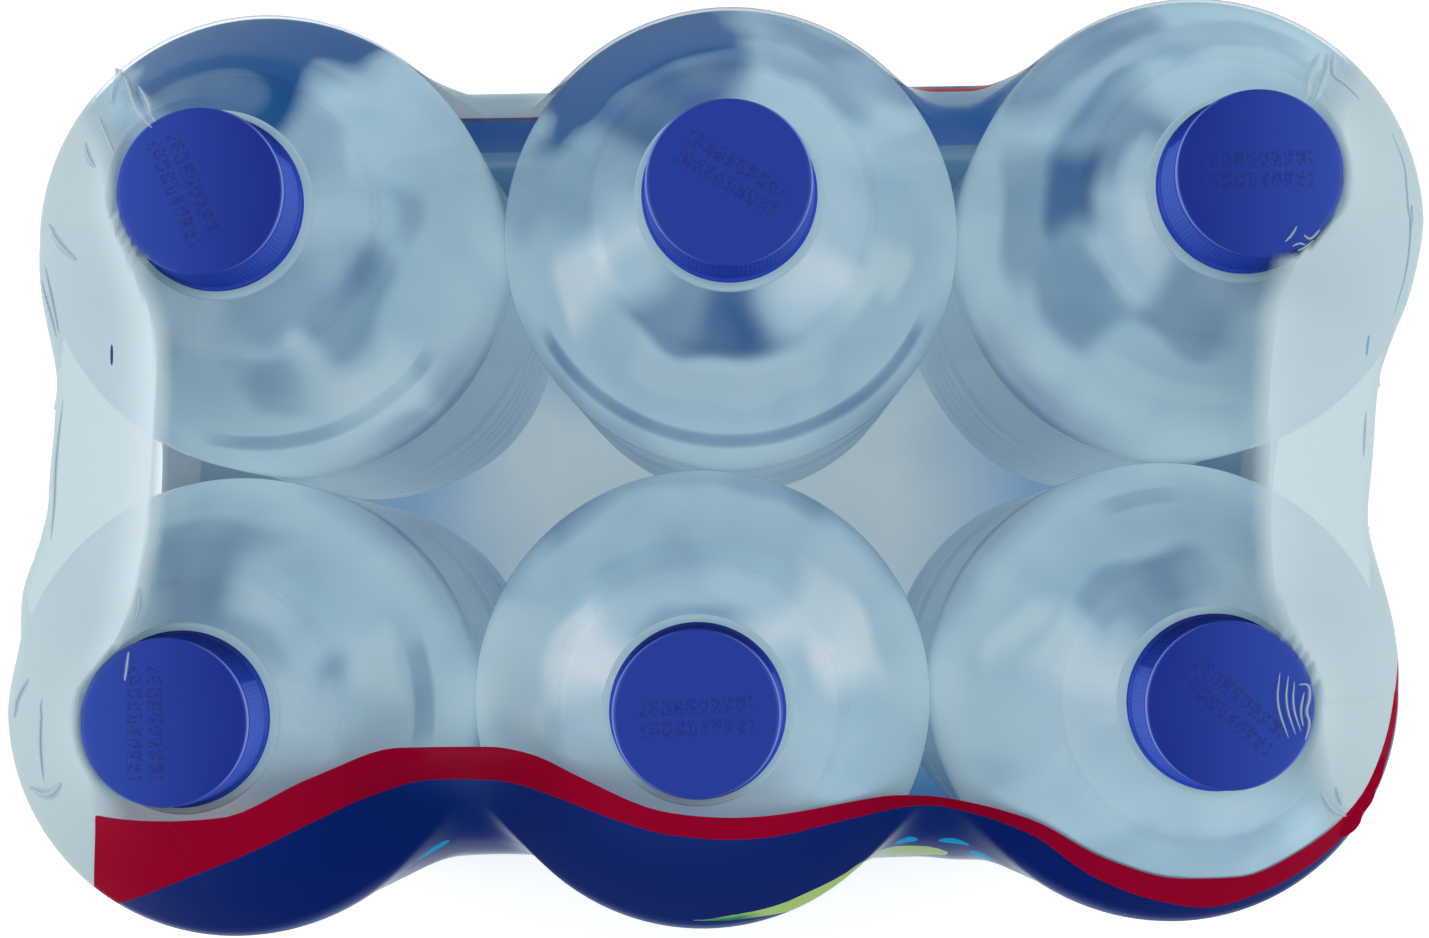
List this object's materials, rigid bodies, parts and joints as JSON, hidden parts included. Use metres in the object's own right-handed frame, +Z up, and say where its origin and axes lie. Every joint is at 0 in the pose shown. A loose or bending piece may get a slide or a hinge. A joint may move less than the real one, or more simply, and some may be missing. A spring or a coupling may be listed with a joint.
{
  "type": "shrink-wrapped pack of bottled drinks",
  "caption": "Shrink-wrapped pack of large clear plastic bottles of clear drink in two rows, with blue screw caps, held by a printed film sleeve that is open at both ends.",
  "frame": {"origin": "middle of the flat underside that the pack stands on", "axes": "+X along the long rows of bottles, +Y from the front row with the wide printed band to the back row, +Z up from the underside to the caps"},
  "size_m": [0.2778, 0.1814, 0.3158],
  "materials": {
    "film": "clear shrink film, slightly hazy, printed in red and navy along the long sides",
    "bottle": "clear, pale aqua bottle plastic, glossy",
    "drink": "clear still liquid",
    "cap": "satin moulded royal blue, finely ribbed skirt"
  },
  "bodies": {
    "root": {"film_wrap": "film", "bottle_1": "bottle", "bottle_2": "bottle", "bottle_3": "bottle", "bottle_4": "bottle", "bottle_5": "bottle", "bottle_6": "bottle", "drink_1": "drink", "drink_2": "drink", "drink_3": "drink", "drink_4": "drink", "drink_5": "drink", "drink_6": "drink", "cap_1": "cap", "cap_2": "cap", "cap_3": "cap", "cap_4": "cap", "cap_5": "cap", "cap_6": "cap"}
  },
  "joints": []
}
